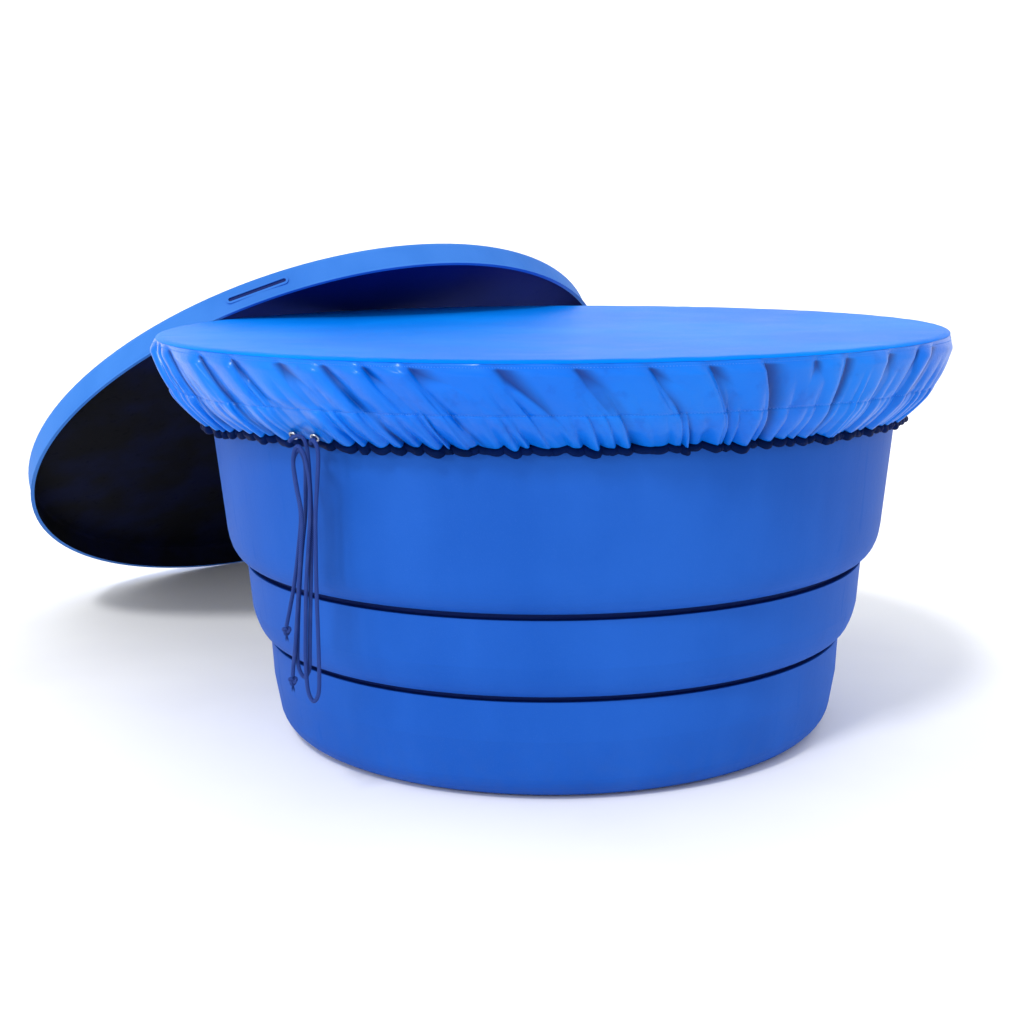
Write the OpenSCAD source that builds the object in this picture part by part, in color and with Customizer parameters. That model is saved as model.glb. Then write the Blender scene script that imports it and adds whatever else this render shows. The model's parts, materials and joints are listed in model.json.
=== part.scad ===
// Round stepped stock water tank with a float valve, an overflow, a drain,
// a fitted fabric cover drawn in by a cord, and a loose moulded lid leaning on its rim.
// Millimetres. Origin: centre of the base on the ground. +Z up, -Y is the front.

/* [Tank] */
// Height of the rim above the ground
tank_h = 790; // [780:1:800]
// Outer radius of the rim collar
rim_r = 750; // [748:1:752]
// Wall thickness of the moulding
wall = 5; // [4:0.5:6]
// Outer radius of the wall where it meets the base corner
base_r = 563; // [561:1:565]
// Radius of the base corner
base_corner = 60; // [40:1:70]
// Height of the lower step
low_step_z = 189; // [184:1:191]
// Height of the upper step
high_step_z = 343; // [338:1:346]

/* [Water fittings] */
// Direction of the float valve, in degrees from +X
inlet_az = 60; // [40:1:75]
// Height of the float valve's stem
inlet_z = 545; // [530:1:550]
// Direction of the overflow
overflow_az = 30; // [10:1:38]
// Height of the overflow
overflow_z = 488; // [482:1:494]
// Direction of the drain
drain_az = 45; // [30:1:60]
// Height of the drain
drain_z = 106; // [100:1:110]
// Radius of the float
float_r = 55; // [45:1:60]
// Length of the float's rod from its pivot to the float's centre
rod_len = 245; // [220:1:260]
// Angle of the rod below level when the tank is empty
rod_drop = 30; // [25:1:35]
// Length of the cam that pushes the plunger
cam_len = 12; // [11:0.5:12]

/* [Fabric cover] */
// Radius of the cover over the rim
cover_r = 768; // [766:1:770]
// Height where the skirt ends and the hem begins
hem_z = 630; // [625:1:634]
// Radius of the drawn-in hem
hem_r = 675; // [674:1:677]
// Thickness of the fabric
fabric = 1.5; // [1:0.5:1.5]
// Diameter of the drawcord
cord_d = 7; // [6:0.5:7]
// Directions of the two eyelets, in degrees from +X
eyelet_az = [-128, -124]; // [-140:1:-110]
// Height of the eyelets
eyelet_z = 652; // [650:1:656]

/* [Loose lid] */
// Outer radius of the lid at its lip
lid_r = 760; // [760:1:763]
// Depth of the lid's skirt
lid_depth = 66; // [60:1:68]
// Wall thickness of the lid
lid_wall = 4; // [3.5:0.5:4]
// Lean of the lid from level
lid_tilt = 36.6; // [36.4:0.1:37.5]
// Direction of the rim point that the lid leans on
lid_az = 126; // [124:0.5:128]
// Sideways shift of the lid along the rim
lid_shift = -81; // [-84:1:-60]

/* [Hidden] */
$fn = 96;

TANK_BLUE = [0.10, 0.36, 0.80];
LID_BLUE = [0.18, 0.46, 0.86];
FABRIC_BLUE = [0.12, 0.52, 0.95];
CORD_NAVY = [0.10, 0.17, 0.36];
RUBBER_BLACK = [0.08, 0.08, 0.09];
BRASS = [0.72, 0.57, 0.28];
STEEL = [0.70, 0.71, 0.72];
PVC_GREY = [0.45, 0.47, 0.50];

slack = 0.3;         // gap left between neighbouring soft and moving pieces
gasket_t = 3;        // thickness of every flat gasket
run = 0.05;          // radial clearance of pins, nuts and the plunger

// Helpers.

// Points on an arc, from angle a0 to a1.
function arc_points(centre, radius, a0, a1, steps) =
    [for (i = [0:steps]) let (a = a0 + (a1 - a0) * i / steps)
        [centre[0] + radius * cos(a), centre[1] + radius * sin(a)]];

// Points on a quadratic curve from a to c that bends towards b.
function bend_points(a, b, c, steps) =
    [for (i = [0:steps]) let (t = i / steps)
        (1 - t) * (1 - t) * a + 2 * t * (1 - t) * b + t * t * c];

function unit(v) = v / norm(v);
function left_of(v) = [-v[1], v[0]];

// An outline moved to its left by a distance, with mitred corners. Its two ends are left out.
function inset(points, distance) =
    [for (i = [1:len(points) - 2])
        let (n1 = left_of(unit(points[i] - points[i - 1])),
             n2 = left_of(unit(points[i + 1] - points[i])))
        points[i] + distance * (n1 + n2) / (1 + n1 * n2)];

function backwards(points) = [for (i = [len(points) - 1:-1:0]) points[i]];

// A cylinder along +X, from x0 to x1.
module bar_x(radius, x0, x1) {
    translate([x0, 0, 0]) rotate([0, 90, 0]) cylinder(r = radius, h = x1 - x0);
}

module hex_x(across, x0, x1) {
    translate([x0, 0, 0]) rotate([0, 90, 0]) cylinder(d = across / cos(30), h = x1 - x0, $fn = 6);
}

module ring_x(outer, inner, x0, x1) {
    difference() {
        bar_x(outer, x0, x1);
        bar_x(inner, x0 - 1, x1 + 1);
    }
}

// Places a fitting so that +X points straight out of the tank.
module at_wall(az, radius, z) {
    rotate([0, 0, az]) translate([radius, 0, z]) children();
}

// Tank.

groove_low = [9, 12];     // height and depth of the lower groove
groove_high = [11, 13];   // height and depth of the upper groove

// The outside of the tank from the middle of the base to the rim.
tank_outline = concat(
    [[0, 0]],
    arc_points([base_r - base_corner, base_corner], base_corner, -90, -8, 10),
    [[base_r + 10, 116], [base_r + 14, low_step_z]],
    [[base_r + 14 - groove_low[1], low_step_z + 1],
     [base_r + 14 - groove_low[1], low_step_z + groove_low[0] + 1]],
    bend_points([base_r + 17, low_step_z + groove_low[0] + 2], [base_r + 36, low_step_z + 17],
                [base_r + 47, low_step_z + 68], 8),
    [[base_r + 54, high_step_z]],
    [[base_r + 54 - groove_high[1], high_step_z + 1],
     [base_r + 54 - groove_high[1], high_step_z + groove_high[0]]],
    bend_points([base_r + 56, high_step_z + groove_high[0] + 1], [base_r + 84, high_step_z + 23],
                [base_r + 90, high_step_z + 72], 9),
    [[base_r + 107, 585]],
    bend_points([base_r + 113, 650], [base_r + 115, 680], [base_r + 143, 702], 5),
    bend_points([rim_r - 14, tank_h - 54], [rim_r, tank_h - 45], [rim_r, tank_h - 32], 5),
    [[rim_r, tank_h]]
);
tank_section = concat(tank_outline, [[rim_r - wall, tank_h]],
                      backwards(inset(tank_outline, wall)), [[0, wall]]);

// Each flat seat: direction, height, outer face radius, inner face radius, seat radius, hole radius.
inlet_seat = [inlet_az, inlet_z, 670.5, 657, 38, 17];
overflow_seat = [overflow_az, overflow_z, 665.5, 651, 42, 24.4];
drain_seat = [drain_az, drain_z, 577, 556, 38, 21.4];
seats = [inlet_seat, overflow_seat, drain_seat];

module tank_shell() {
    color(TANK_BLUE) difference() {
        union() {
            rotate_extrude() polygon(tank_section);
            for (s = seats)
                at_wall(s[0], 0, s[1]) bar_x(s[4], s[3], s[2]);
        }
        for (s = seats)
            at_wall(s[0], 0, s[1]) bar_x(s[5], s[3] - 20, s[2] + 20);
    }
}

// Flanged adaptors.

flange_t = 6;
nut_t = 14;

module inner_gasket(seat, flange_r) {
    color(RUBBER_BLACK) at_wall(seat[0], 0, seat[1])
        ring_x(flange_r - 1, seat[5], seat[3] - gasket_t, seat[3]);
}

module outer_gasket(seat, flange_r) {
    color(RUBBER_BLACK) at_wall(seat[0], 0, seat[1])
        ring_x(flange_r - 3, seat[5], seat[2], seat[2] + gasket_t);
}

module locknut(seat, thread_r, across, thickness, tint) {
    x0 = seat[2] + gasket_t;
    color(tint) at_wall(seat[0], 0, seat[1]) difference() {
        union() {
            hex_x(across, x0 + 3, x0 + thickness);
            bar_x(across / 2 + 2, x0, x0 + 3.5);
        }
        bar_x(thread_r + run, x0 - 1, x0 + thickness + 1);
    }
}

// A tube with a flange inside the tank and a pipe socket at its outer end.
module adaptor(seat, thread_r, flange_r, socket_r, socket_len, reach) {
    flange_x = seat[3] - gasket_t;
    end_x = seat[2] + reach;
    color(PVC_GREY) at_wall(seat[0], 0, seat[1]) difference() {
        union() {
            bar_x(flange_r, flange_x - flange_t, flange_x);
            bar_x(thread_r, flange_x - 1, end_x);
            bar_x(thread_r + 1.2, end_x - 6, end_x);
        }
        bar_x(socket_r, end_x - socket_len, end_x + 1);
        bar_x(socket_r - 2.5, flange_x - flange_t - 1, end_x);
    }
}

overflow_thread_r = 24;
overflow_socket_r = 20;
overflow_socket_len = 26;
overflow_flange_r = 36;
overflow_reach = 50;
drain_thread_r = 21;
drain_socket_r = 16;
drain_socket_len = 22;
drain_flange_r = 32;
drain_reach = 44;

// A push-in bung with a seal under its head and a wing to pull it by.
module drain_plug() {
    mouth = drain_seat[2] + drain_reach;
    color(RUBBER_BLACK) at_wall(drain_seat[0], 0, drain_seat[1]) {
        bar_x(drain_socket_r - 0.1, mouth - 16, mouth + 0.1);
        bar_x(drain_socket_r - 1, mouth, mouth + 3);
        bar_x(drain_thread_r + 3, mouth + 2.6, mouth + 9);
        translate([mouth + 8, 0, 0]) intersection() {
            translate([0, -3, -15]) cube([17, 6, 30]);
            rotate([90, 0, 0]) cylinder(r = 16.5, h = 8, center = true);
        }
    }
}

module drain_plug_seal() {
    mouth = drain_seat[2] + drain_reach;
    color(RUBBER_BLACK) at_wall(drain_seat[0], 0, drain_seat[1])
        ring_x(drain_thread_r + 1, drain_socket_r - 0.8, mouth + 0.1, mouth + 2.5);
}

// Float valve.

stem_r = 16.6;                           // outer radius of the inlet stem
inlet_socket_r = 12.5;                   // socket that takes the supply pipe
inlet_socket_len = 20;
stem_end = inlet_seat[2] + 44;           // outer end of the stem
bore_r = 9;                              // bore of the stem
valve_x = inlet_seat[3] - gasket_t;      // face of the shoulder inside the tank
chamber_r = 15;
chamber_end = valve_x - 62;              // inner end of the valve's chamber
plunger_r = 10;
pivot_x = chamber_end - 12;
pivot_drop = 18;                         // the pivot's height under the stem
ear_gap = 9;                             // half the gap between the ears
pin_r = 3;
cam_r = 4;
cam_lean = 17.5;                         // lean of the cam away from the plunger when the valve is open
plunger_travel = 2 * cam_len * sin(cam_lean);
seat_x = chamber_end + 38;               // the seat that the seal closes on
rod_r = 3;
boss_r = 9;                              // the boss that the rod screws into

plunger_end = pivot_x - cam_len * sin(cam_lean) + cam_r + 0.15;

module inlet_valve_body() {
    color(BRASS) at_wall(inlet_az, 0, inlet_z) difference() {
        union() {
            bar_x(stem_r, valve_x - 1, stem_end);
            bar_x(28, valve_x - 4, valve_x);
            hex_x(44, valve_x - 12, valve_x - 3.5);
            bar_x(chamber_r, chamber_end, valve_x - 11);
            translate([chamber_end + 28, 0, -30]) cylinder(r = 9, h = 24);
            for (side = [-1, 1]) ear(side);
        }
        bar_x(bore_r, chamber_end + 44, stem_end - 1);
        bar_x(inlet_socket_r, stem_end - inlet_socket_len, stem_end + 1);
        bar_x(3.5, chamber_end + 20, chamber_end + 50);
        bar_x(plunger_r, chamber_end - 40, seat_x);
        translate([chamber_end + 28, 0, -31]) cylinder(r = 6, h = 28);
        translate([pivot_x, 30, -pivot_drop]) rotate([90, 0, 0]) cylinder(r = pin_r, h = 60);
    }
}

// One of the two ears that carry the lever's pin.
module ear(side) {
    y0 = side > 0 ? ear_gap : -ear_gap - 4;
    translate([0, y0 + 4, 0]) rotate([90, 0, 0]) linear_extrude(4)
        polygon([[chamber_end + 14, -2], [chamber_end + 14, -14], [pivot_x + 4, -pivot_drop - 6],
                 [pivot_x - 6, -pivot_drop - 5], [pivot_x - 7, -pivot_drop + 4],
                 [chamber_end - 4, -3]]);
}

module valve_plunger() {
    color(PVC_GREY) at_wall(inlet_az, 0, inlet_z)
        bar_x(plunger_r - run, plunger_end, seat_x - plunger_travel - 3.6);
}

module plunger_seal() {
    color(RUBBER_BLACK) at_wall(inlet_az, 0, inlet_z)
        bar_x(plunger_r - 1.5, seat_x - plunger_travel - 3.5, seat_x - plunger_travel - 0.1);
}

module lever_pin() {
    color(STEEL) at_wall(inlet_az, 0, inlet_z) translate([pivot_x, 0, -pivot_drop]) {
        rotate([90, 0, 0]) cylinder(r = pin_r - 0.02, h = 2 * ear_gap + 14, center = true);
        translate([0, -ear_gap - 4.1, 0]) rotate([90, 0, 0]) cylinder(r = 5, h = 2.5);
    }
}

// The rod with its hub on the pin and the round cam that meets the plunger.
module float_arm() {
    color(BRASS) at_wall(inlet_az, 0, inlet_z) translate([pivot_x, 0, -pivot_drop]) {
        difference() {
            union() {
                rotate([90, 0, 0]) cylinder(r = 6.5, h = 10, center = true);
                rotate([0, -cam_lean, 0]) {
                    translate([-4, -4, 2]) cube([3, 8, cam_len - 2]);
                    translate([0, 4, cam_len]) rotate([90, 0, 0]) cylinder(r = cam_r, h = 8);
                }
                rotate([0, -rod_drop, 0]) bar_x(rod_r, -rod_len + float_r - 14, -4);
            }
            rotate([90, 0, 0]) cylinder(r = pin_r + run, h = 40, center = true);
        }
    }
}

module at_float() {
    at_wall(inlet_az, 0, inlet_z) translate([pivot_x, 0, -pivot_drop]) rotate([0, -rod_drop, 0])
        translate([-rod_len, 0, 0]) children();
}

module float_ball() {
    color("white") at_float() difference() {
        union() {
            sphere(r = float_r);
            bar_x(boss_r, float_r - 8, float_r + 3);
        }
        difference() {
            sphere(r = float_r - 3);
            bar_x(boss_r, float_r - 20, float_r);
        }
        bar_x(rod_r + run, float_r - 15, float_r + 5);
    }
}

module float_locknut() {
    color(BRASS) at_float() difference() {
        hex_x(11, float_r + 3.1, float_r + 9);
        bar_x(rod_r + run, float_r, float_r + 12);
    }
}

// Fabric cover.

piping_r = 3;
piping_z = tank_h + 1;
skirt_top = piping_z - piping_r - slack;
tunnel_r = 6;

// Outer radius of the skirt at a height: it hangs from the rim and is drawn in to the hem.
function skirt_r(z) =
    hem_r + (cover_r - hem_r) * (1 - pow((skirt_top - z) / (skirt_top - hem_z + 8), 1.8));

tunnel_centre = [skirt_r(hem_z) - fabric / 2, hem_z - tunnel_r - slack];

module cover_top_panel() {
    color(FABRIC_BLUE) translate([0, 0, tank_h + slack]) cylinder(r = cover_r - 6, h = fabric);
}

module cover_rim_piping() {
    color(FABRIC_BLUE) rotate_extrude() translate([cover_r - 2, piping_z]) circle(r = piping_r, $fn = 32);
}

module cover_skirt() {
    steps = 14;
    heights = [for (i = [0:steps]) skirt_top - (skirt_top - hem_z) * i / steps];
    color(FABRIC_BLUE) difference() {
        rotate_extrude() polygon(concat(
            [for (z = heights) [skirt_r(z), z]],
            [for (z = backwards(heights)) [skirt_r(z) - fabric, z]]));
        for (az = eyelet_az)
            at_eyelet(az) cylinder(r = 6.6, h = 30, center = true);
    }
}

module cover_hem_tunnel() {
    color(FABRIC_BLUE) rotate_extrude() translate(tunnel_centre) difference() {
        circle(r = tunnel_r, $fn = 32);
        circle(r = tunnel_r - fabric, $fn = 32);
    }
}

module hem_drawcord() {
    color(CORD_NAVY) rotate_extrude() translate(tunnel_centre) circle(d = cord_d, $fn = 32);
}

// Places a piece on the skirt so that +Z points out of the fabric.
module at_eyelet(az) {
    slope = atan((skirt_r(eyelet_z + 1) - skirt_r(eyelet_z - 1)) / 2);
    rotate([0, 0, az]) translate([skirt_r(eyelet_z), 0, eyelet_z]) rotate([0, 90 + slope, 0]) children();
}

module eyelet(az) {
    color(STEEL) at_eyelet(az) difference() {
        union() {
            translate([0, 0, slack]) cylinder(r = 9, h = 1.4);
            translate([0, 0, -4.2]) cylinder(r = 6, h = 5);
        }
        translate([0, 0, -5]) cylinder(r = 4.8, h = 10);
    }
}

module eyelet_washer(az) {
    color(STEEL) at_eyelet(az) translate([0, 0, -3.6]) difference() {
        cylinder(r = 9, h = 1.2);
        translate([0, 0, -1]) cylinder(r = 6.1, h = 4);
    }
}

// Cord tails.

// Each tail leaves its eyelet, bends over, hangs in a long loop and ends in a free end.
// Points are [along the hem, out from the eyelet's radius, height above the ground],
// with the hem's direction measured from the right eyelet.
right_tail_points = [
    [0, 1, 651], [0, 7, 645], [3, 16, 643], [11, 23, 649], [20, 26, 648], [26, 26, 636], [26, 25, 615],
    [21, 24, 575], [15, 24, 520], [13, 24, 460], [12, 24, 400], [12, 24, 340], [12, 24, 280],
    [11, 24, 235], [7, 24, 213], [-3, 24, 202], [-13, 24, 213], [-17, 24, 235], [-18, 24, 280],
    [-15, 24, 340], [-11, 24, 400], [-4, 24, 460], [4, 25, 520], [7, 27, 575], [6, 31, 608],
    [2, 34, 629], [-8, 35, 639], [-18, 34, 629], [-22, 33, 608], [-17, 32, 570], [-8, 32, 520],
    [-14, 31, 460], [-23, 29, 400], [-33, 26, 340], [-42, 23, 290], [-49, 22, 255], [-52, 21, 238]
];
left_tail_points = [
    [-49, 1, 651], [-49, 7, 645], [-45, 15, 643], [-36, 19, 648], [-25, 19, 653], [-14, 17, 651],
    [-8, 16, 640], [-5, 15, 618], [-3, 15, 575], [-2, 15, 520], [-5, 15, 460], [-9, 15, 400],
    [-13, 15, 340], [-16, 15, 290], [-17, 15, 266], [-21, 15, 248], [-31, 15, 238], [-41, 15, 248],
    [-45, 15, 266], [-44, 15, 290], [-40, 15, 340], [-34, 15, 400], [-26, 15, 460], [-16, 15, 520],
    [-13, 15, 570], [-13, 14, 602], [-17, 14, 619], [-27, 13, 628], [-37, 13, 619], [-41, 13, 602],
    [-37, 13, 570], [-28, 13, 520], [-36, 13, 460], [-48, 13, 400], [-60, 13, 355], [-70, 13, 322]
];

// A tail's point in the model's frame.
function tail_point(p) =
    let (base_r0 = skirt_r(eyelet_z), az = eyelet_az[1], r = base_r0 + p[1])
    [r * cos(az) - p[0] * sin(az), r * sin(az) + p[0] * cos(az), p[2]];

// A smooth curve through the points, with a few rings between each pair.
function through(points, per) =
    [for (i = [0:len(points) - 2], k = [0:per - 1])
        let (t = k / per, a = points[max(i - 1, 0)], b = points[i], c = points[i + 1],
             d = points[min(i + 2, len(points) - 1)])
        0.5 * (2 * b + (c - a) * t + (2 * a - 5 * b + 4 * c - d) * t * t
               + (3 * b - a - 3 * c + d) * t * t * t)];

// A tube of round section swept along the points.
module cord_tube(points, diameter) {
    sides = 8;
    line = concat(through(points, 2), [points[len(points) - 1]]);
    last = len(line) - 1;
    tangents = [for (i = [0:last]) unit(line[min(i + 1, last)] - line[max(i - 1, 0)])];
    outward = [cos(eyelet_az[1]), sin(eyelet_az[1]), 0];
    rings = [for (i = [0:last])
        let (t = tangents[i], lean = abs(t * outward) > 0.9 ? [0, 0, 1] : outward,
             side = unit(cross(t, lean)), up = cross(side, t))
        for (k = [0:sides - 1]) let (a = 360 * k / sides)
        line[i] + diameter / 2 * (side * cos(a) + up * sin(a))];
    walls = [for (i = [0:last - 1], k = [0:sides - 1])
        let (a = i * sides + k, b = i * sides + (k + 1) % sides)
        [a, b, b + sides, a + sides]];
    polyhedron(rings, concat([[for (k = [sides - 1:-1:0]) k]], walls,
                             [[for (k = [0:sides - 1]) last * sides + k]]), convexity = 10);
}

module left_cord_tail() {
    color(CORD_NAVY) cord_tube([for (p = left_tail_points) tail_point(p)], cord_d);
}

module right_cord_tail() {
    color(CORD_NAVY) cord_tube([for (p = right_tail_points) tail_point(p)], cord_d);
}

// The overhand knots at the two free ends.
module cord_end_knots() {
    for (tail = [left_tail_points, right_tail_points])
        color(CORD_NAVY) translate(tail_point(tail[len(tail) - 1]) - [0, 0, cord_d * 1.2])
            sphere(d = cord_d * 2.2, $fn = 32);
}

// Loose lid.

lid_edge = 14;       // rounding between the lid's top and its skirt
lip_flare = 5;       // how far the lip stands out past the skirt
crown_h = 8;         // rise of the lid's middle panel
crown_r = 420;       // where the rise begins
crown_run = 90;      // width of the rise

// Height of the lid's top at a radius: flat, then a smooth rise to the middle panel.
function lid_top(r) =
    lid_depth + crown_h * (1 + cos(180 * min(1, max(0, (r - crown_r + crown_run) / crown_run)))) / 2;

lid_skirt_r = lid_r - lip_flare;
crown_steps = [for (i = [0:8]) crown_r - crown_run + crown_run * i / 8];
lid_outline = concat(
    [[0, lid_top(0)]],
    [for (r = crown_steps) [r, lid_top(r)]],
    arc_points([lid_skirt_r - 2 - lid_edge, lid_depth - lid_edge], lid_edge, 90, 4, 6),
    [[lid_skirt_r, 12]],
    bend_points([lid_skirt_r, 8], [lid_skirt_r, 4], [lid_r, 2], 3),
    [[lid_r, 0]]
);
lid_under = concat(
    [[0, lid_top(0) - lid_wall]],
    [for (r = crown_steps) [r, lid_top(r) - lid_wall]],
    arc_points([lid_skirt_r - 2 - lid_edge, lid_depth - lid_edge], lid_edge - lid_wall, 90, 4, 5),
    [[lid_skirt_r - lid_wall, 8], [lid_skirt_r - lid_wall, 0]]
);

// The lid's place: its lip on the ground, its underside on the cover's edge.
rest_r = cover_r - 2 + piping_r * sin(lid_tilt);
rest_z = piping_z + piping_r * cos(lid_tilt);
lid_centre_z = lid_r * sin(lid_tilt);
lid_centre_r = rest_r - (lid_depth - lid_wall - 2 * slack
                         - (rest_z - lid_centre_z) * cos(lid_tilt)) / sin(lid_tilt);

module at_lid() {
    rotate([0, 0, lid_az]) translate([lid_centre_r, lid_shift, lid_centre_z])
        rotate([0, lid_tilt, 0]) children();
}

grip_len = 132;      // length of a grip recess in the lid's skirt
grip_h = 9;
grip_turn = [146.5, -33.5];   // the recesses' directions, from the lid's lowest point

// The raised frame round a grip recess.
module grip_frame() {
    translate([lid_skirt_r - lid_wall - 3, 0, lid_depth * 0.5]) rotate([0, 90, 0])
        linear_extrude(lid_wall + 2.6) hull() for (side = [-1, 1])
            translate([0, side * (grip_len / 2 - 4)]) circle(r = grip_h / 2 + 5, $fn = 32);
}

module grip_cut() {
    translate([lid_skirt_r - lid_wall + 0.6, 0, lid_depth * 0.5]) rotate([0, 90, 0])
        linear_extrude(30) hull() for (side = [-1, 1])
            translate([0, side * (grip_len / 2 - 4)]) circle(r = grip_h / 2, $fn = 32);
}

module lid_shell() {
    color(LID_BLUE) at_lid() difference() {
        union() {
            rotate_extrude() polygon(concat(lid_outline, backwards(lid_under)));
            for (turn = grip_turn) rotate([0, 0, turn]) grip_frame();
        }
        for (turn = grip_turn) rotate([0, 0, turn]) grip_cut();
    }
}

// Nodes.

tank_shell();
inlet_valve_body();
inner_gasket(inlet_seat, 28);  // inlet_inner_gasket
outer_gasket(inlet_seat, 28);  // inlet_outer_gasket
locknut(inlet_seat, stem_r, 44, 12, BRASS);  // inlet_locknut
valve_plunger();
plunger_seal();
lever_pin();
float_arm();
float_ball();
float_locknut();
adaptor(overflow_seat, overflow_thread_r, overflow_flange_r, overflow_socket_r,  // overflow_adaptor
            overflow_socket_len, overflow_reach);
inner_gasket(overflow_seat, overflow_flange_r);  // overflow_inner_gasket
outer_gasket(overflow_seat, overflow_flange_r);  // overflow_outer_gasket
locknut(overflow_seat, overflow_thread_r, 62, nut_t, PVC_GREY);  // overflow_locknut
adaptor(drain_seat, drain_thread_r, drain_flange_r, drain_socket_r, drain_socket_len, drain_reach);  // drain_adaptor
inner_gasket(drain_seat, drain_flange_r);  // drain_inner_gasket
outer_gasket(drain_seat, drain_flange_r);  // drain_outer_gasket
locknut(drain_seat, drain_thread_r, 54, nut_t, PVC_GREY);  // drain_locknut
drain_plug();
drain_plug_seal();
cover_top_panel();
cover_rim_piping();
cover_skirt();
cover_hem_tunnel();
hem_drawcord();
eyelet(eyelet_az[0]);  // left_eyelet
eyelet_washer(eyelet_az[0]);  // left_eyelet_washer
eyelet(eyelet_az[1]);  // right_eyelet
eyelet_washer(eyelet_az[1]);  // right_eyelet_washer
left_cord_tail();
right_cord_tail();
cord_end_knots();
lid_shell();
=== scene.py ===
import json
import math

import bpy
import numpy as np
from mathutils import Matrix, Vector


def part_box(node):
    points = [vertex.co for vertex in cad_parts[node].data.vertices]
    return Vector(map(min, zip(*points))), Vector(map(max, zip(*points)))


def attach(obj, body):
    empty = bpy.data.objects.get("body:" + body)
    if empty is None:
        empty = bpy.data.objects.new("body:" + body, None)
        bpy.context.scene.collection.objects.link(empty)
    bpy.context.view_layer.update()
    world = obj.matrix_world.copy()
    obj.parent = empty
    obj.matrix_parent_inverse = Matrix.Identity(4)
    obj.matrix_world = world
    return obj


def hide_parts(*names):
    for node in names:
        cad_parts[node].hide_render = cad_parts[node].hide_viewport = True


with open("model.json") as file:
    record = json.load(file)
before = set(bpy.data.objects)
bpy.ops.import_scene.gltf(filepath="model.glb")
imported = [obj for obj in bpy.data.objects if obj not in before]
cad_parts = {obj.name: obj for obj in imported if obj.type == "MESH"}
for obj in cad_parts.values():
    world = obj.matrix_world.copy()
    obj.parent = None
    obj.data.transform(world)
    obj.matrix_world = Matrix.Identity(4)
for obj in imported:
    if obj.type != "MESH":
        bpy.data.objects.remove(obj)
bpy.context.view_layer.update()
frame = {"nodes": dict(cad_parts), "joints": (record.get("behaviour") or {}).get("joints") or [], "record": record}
nodes = frame["nodes"]
print("frame loaded:", len(nodes), "nodes")


# camera

camera = {
    "lens": 56.25,      # mm, on a 36 mm sensor
    "back": 3.21,       # metres from the tank's axis
    "height": 1.005,
    "pitch": 10.41,     # degrees down
    "roll": 0.34,
    "shift": -0.041,
}


def makeCamera():
    data = bpy.data.cameras.new("camera")
    data.lens = camera["lens"]
    data.sensor_width = 36
    data.shift_x = camera["shift"]
    data.clip_end = 60
    cam = bpy.data.objects.new("camera", data)
    turn = Matrix.Rotation(math.radians(90 - camera["pitch"]), 4, "X")
    roll = Matrix.Rotation(math.radians(-camera["roll"]), 4, "Z")
    cam.matrix_world = Matrix.Translation((0, -camera["back"], camera["height"])) @ turn @ roll
    bpy.context.scene.collection.objects.link(cam)
    bpy.context.scene.camera = cam


makeCamera()
print("camera made")


# meshes from numpy

def makeMesh(name, points, quads):
    # quads may hold -1 in the last column, which makes a triangle
    mesh = bpy.data.meshes.new(name)
    faces = [[int(k) for k in q if k >= 0] for q in quads]
    mesh.from_pydata(np.asarray(points, float).tolist(), [], faces)
    mesh.polygons.foreach_set("use_smooth", [True] * len(mesh.polygons))
    mesh.update()
    piece = bpy.data.objects.new(name, mesh)
    bpy.context.scene.collection.objects.link(piece)
    return piece


def gridQuads(rows, columns, wrapColumns=True, flip=False):
    # every cell of a grid of points as one quad; the columns may close on themselves
    i, j = np.meshgrid(np.arange(rows - 1), np.arange(columns if wrapColumns else columns - 1), indexing="ij")
    nextJ = (j + 1) % columns
    quads = np.stack([i * columns + j, i * columns + nextJ,
                      (i + 1) * columns + nextJ, (i + 1) * columns + j], -1).reshape(-1, 4)
    return quads[:, ::-1] if flip else quads


def setUV(piece, uv):
    # one UV per point, carried to every corner that uses it
    layer = piece.data.uv_layers.new(name="UVMap")
    corner = np.zeros(len(piece.data.loops), int)
    piece.data.loops.foreach_get("vertex_index", corner)
    layer.data.foreach_set("uv", np.asarray(uv, float)[corner].ravel())


def smoothStep(low, high, x):
    # 0 below low, 1 above high, and the cubic 3t^2 - 2t^3 between
    t = np.clip((x - low) / (high - low), 0, 1)
    return t * t * (3 - 2 * t)


def throughPoints(points, per):
    # Catmull-Rom: a cubic between each pair of points, with the slope of its neighbours at both ends
    p = np.asarray(points, float)
    padded = np.vstack([p[:1], p, p[-1:]])
    t = (np.arange(per) / per)[None, :, None]
    a, b, c, d = (padded[k:len(p) - 1 + k, None, :] for k in range(4))
    square, cube = 2 * a - 5 * b + 4 * c - d, 3 * b - a - 3 * c + d
    curve = 0.5 * (2 * b + (c - a) * t + square * t ** 2 + cube * t ** 3)
    return np.vstack([curve.reshape(-1, 3), p[-1:]])


def unitRows(v):
    return v / np.maximum(np.linalg.norm(v, axis=-1, keepdims=True), 1e-12)


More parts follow.
